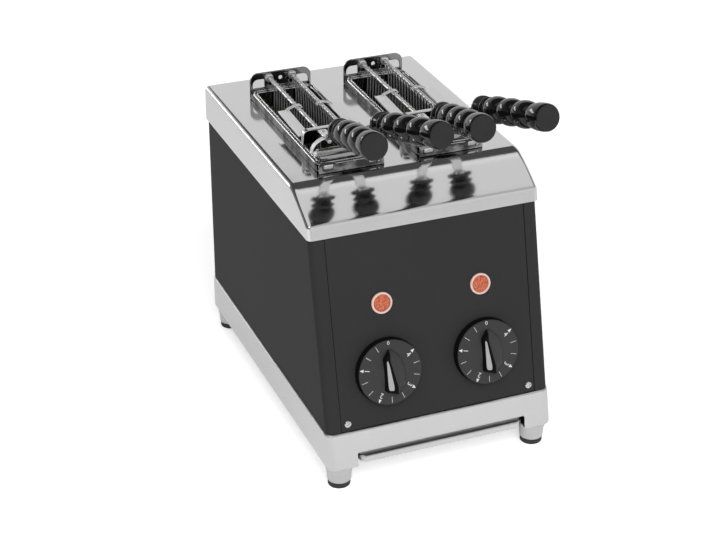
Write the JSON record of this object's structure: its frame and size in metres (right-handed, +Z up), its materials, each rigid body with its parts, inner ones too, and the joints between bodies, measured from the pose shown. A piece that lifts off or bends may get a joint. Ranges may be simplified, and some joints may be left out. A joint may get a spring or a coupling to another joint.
{
  "type": "sandwich toaster",
  "caption": "Countertop upright toaster with sloping black front, polished top cover and lift-out wire sandwich tongs with ribbed grips in its slots.",
  "frame": {"origin": "bottom centre of the bounding box, on the surface the feet stand on", "axes": "+Z up; the front panel with its dials faces -Y; +X is to the right when seen from the front"},
  "size_m": [0.225, 0.3862, 0.3613],
  "materials": {
    "polished_steel": "polished stainless sheet",
    "satin_steel": "satin",
    "black_paint": "satin powder coat",
    "chromed_wire": "bright chrome",
    "bakelite": "glossy moulding",
    "dial_plastic": "satin moulding",
    "pad_rubber": "matte",
    "pale_plastic": "matte moulding",
    "lamp_lens": "translucent orange-red moulding",
    "lamp_ring": "satin moulding",
    "bright_sheet": "bright aluminised sheet",
    "heating_element": "heat-darkened tube"
  },
  "bodies": {
    "housing": {"top_cover": "polished_steel", "body_shell": "black_paint", "front_panel": "black_paint", "base_frame": "satin_steel", "tray_runner_left": "bright_sheet", "tray_runner_right": "bright_sheet", "foot_front_left": "satin_steel", "foot_front_right": "satin_steel", "foot_rear_left": "satin_steel", "foot_rear_right": "satin_steel", "foot_pad_front_left": "pad_rubber", "foot_pad_front_right": "pad_rubber", "foot_pad_rear_left": "pad_rubber", "foot_pad_rear_right": "pad_rubber", "lamp_bezel_left": "lamp_ring", "lamp_bezel_right": "lamp_ring", "lamp_lens_left": "lamp_lens", "lamp_lens_right": "lamp_lens", "timer_left": "pale_plastic", "timer_right": "pale_plastic", "panel_screw_left": "polished_steel", "panel_screw_right": "polished_steel", "cable_gland": "dial_plastic", "reflector_left": "bright_sheet", "reflector_centre_left": "bright_sheet", "reflector_centre_right": "bright_sheet", "reflector_right": "bright_sheet", "heater_left_outer": "heating_element", "heater_left_inner": "heating_element", "heater_right_inner": "heating_element", "heater_right_outer": "heating_element"},
    "tray": {"crumb_tray": "satin_steel"},
    "left_dial": {"timer_dial_left": "dial_plastic", "dial_pointer_left": "pale_plastic"},
    "right_dial": {"timer_dial_right": "dial_plastic", "dial_pointer_right": "pale_plastic"},
    "left_tongs": {"left_tongs_carrier": "chromed_wire", "left_tongs_rear_plate": "chromed_wire", "left_tongs_front_plate": "chromed_wire", "left_tongs_bridge": "chromed_wire", "left_tongs_spring_left": "chromed_wire", "left_tongs_spring_right": "chromed_wire"},
    "left_tongs_left_jaw": {"left_tongs_grid_left": "chromed_wire", "left_tongs_arm_left": "chromed_wire", "left_tongs_grip_left": "bakelite"},
    "left_tongs_right_jaw": {"left_tongs_grid_right": "chromed_wire", "left_tongs_arm_right": "chromed_wire", "left_tongs_grip_right": "bakelite"},
    "right_tongs": {"right_tongs_carrier": "chromed_wire", "right_tongs_rear_plate": "chromed_wire", "right_tongs_front_plate": "chromed_wire", "right_tongs_bridge": "chromed_wire", "right_tongs_spring_left": "chromed_wire", "right_tongs_spring_right": "chromed_wire"},
    "right_tongs_left_jaw": {"right_tongs_grid_left": "chromed_wire", "right_tongs_arm_left": "chromed_wire", "right_tongs_grip_left": "bakelite"},
    "right_tongs_right_jaw": {"right_tongs_grid_right": "chromed_wire", "right_tongs_arm_right": "chromed_wire", "right_tongs_grip_right": "bakelite"}
  },
  "joints": [
    {"name": "crumb_tray_slide", "type": "slide", "parent": "housing", "child": "tray", "axis": [0, -1, 0], "range_m": [0, 0.26]},
    {"name": "left_dial_turn", "type": "hinge", "parent": "housing", "child": "left_dial", "pos_m": [-0.0485, -0.14714, 0.10624], "axis": [0, 0.9744, -0.225], "range_deg": [0, 306]},
    {"name": "right_dial_turn", "type": "hinge", "parent": "housing", "child": "right_dial", "pos_m": [0.0485, -0.14714, 0.10624], "axis": [0, 0.9744, -0.225], "range_deg": [0, 306]},
    {"name": "left_tongs_lift", "type": "slide", "parent": "housing", "child": "left_tongs", "axis": [0, 0, 1], "range_m": [0, 0.16]},
    {"name": "left_tongs_left_jaw_swing", "type": "hinge", "parent": "left_tongs", "child": "left_tongs_left_jaw", "pos_m": [-0.0609, 0, 0.2882], "axis": [0, 1, 0], "range_deg": [0, 5.5], "stiffness_Nm_per_rad": 1.5, "springref_deg": -5.73},
    {"name": "left_tongs_right_jaw_swing", "type": "hinge", "parent": "left_tongs", "child": "left_tongs_right_jaw", "pos_m": [-0.0371, 0, 0.2882], "axis": [0, -1, 0], "range_deg": [0, 5.5], "stiffness_Nm_per_rad": 1.5, "springref_deg": -5.73},
    {"name": "right_tongs_lift", "type": "slide", "parent": "housing", "child": "right_tongs", "axis": [0, 0, 1], "range_m": [0, 0.16]},
    {"name": "right_tongs_left_jaw_swing", "type": "hinge", "parent": "right_tongs", "child": "right_tongs_left_jaw", "pos_m": [0.0371, 0, 0.2882], "axis": [0, 1, 0], "range_deg": [0, 5.5], "stiffness_Nm_per_rad": 1.5, "springref_deg": -5.73},
    {"name": "right_tongs_right_jaw_swing", "type": "hinge", "parent": "right_tongs", "child": "right_tongs_right_jaw", "pos_m": [0.0609, 0, 0.2882], "axis": [0, -1, 0], "range_deg": [0, 5.5], "stiffness_Nm_per_rad": 1.5, "springref_deg": -5.73}
  ]
}
